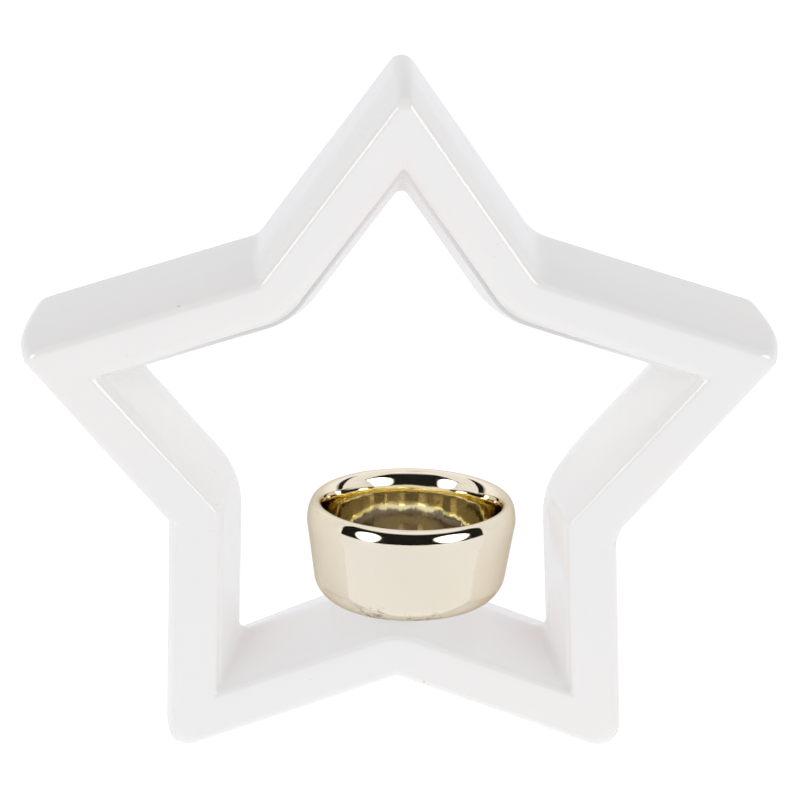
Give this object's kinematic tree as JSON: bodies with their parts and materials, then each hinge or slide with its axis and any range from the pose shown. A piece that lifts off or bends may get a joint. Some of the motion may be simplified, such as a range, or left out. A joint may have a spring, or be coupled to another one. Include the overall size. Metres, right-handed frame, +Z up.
{
  "type": "tealight holder",
  "caption": "Open white glazed ceramic star that stands on two tips, with a mirror-gold ceramic cup for one tealight fixed on its lower inner corner.",
  "frame": {"origin": "on the resting plane under the feet, at the middle of the object's width and depth", "axes": "+X across the star's width to the right as seen from the front, +Y from front to back through its depth, +Z up"},
  "size_m": [0.1712, 0.0484, 0.1549],
  "materials": {
    "star_glaze": "glossy white glaze on cast earthenware, bare pinkish clay under the feet",
    "cup_gold": "mirror-polished pale gold metallised coat over glazed ceramic",
    "cement": "cured translucent adhesive, satin"
  },
  "bodies": {
    "root": {"star_frame": "star_glaze", "tealight_cup": "cup_gold", "cup_adhesive": "cement"}
  },
  "joints": []
}
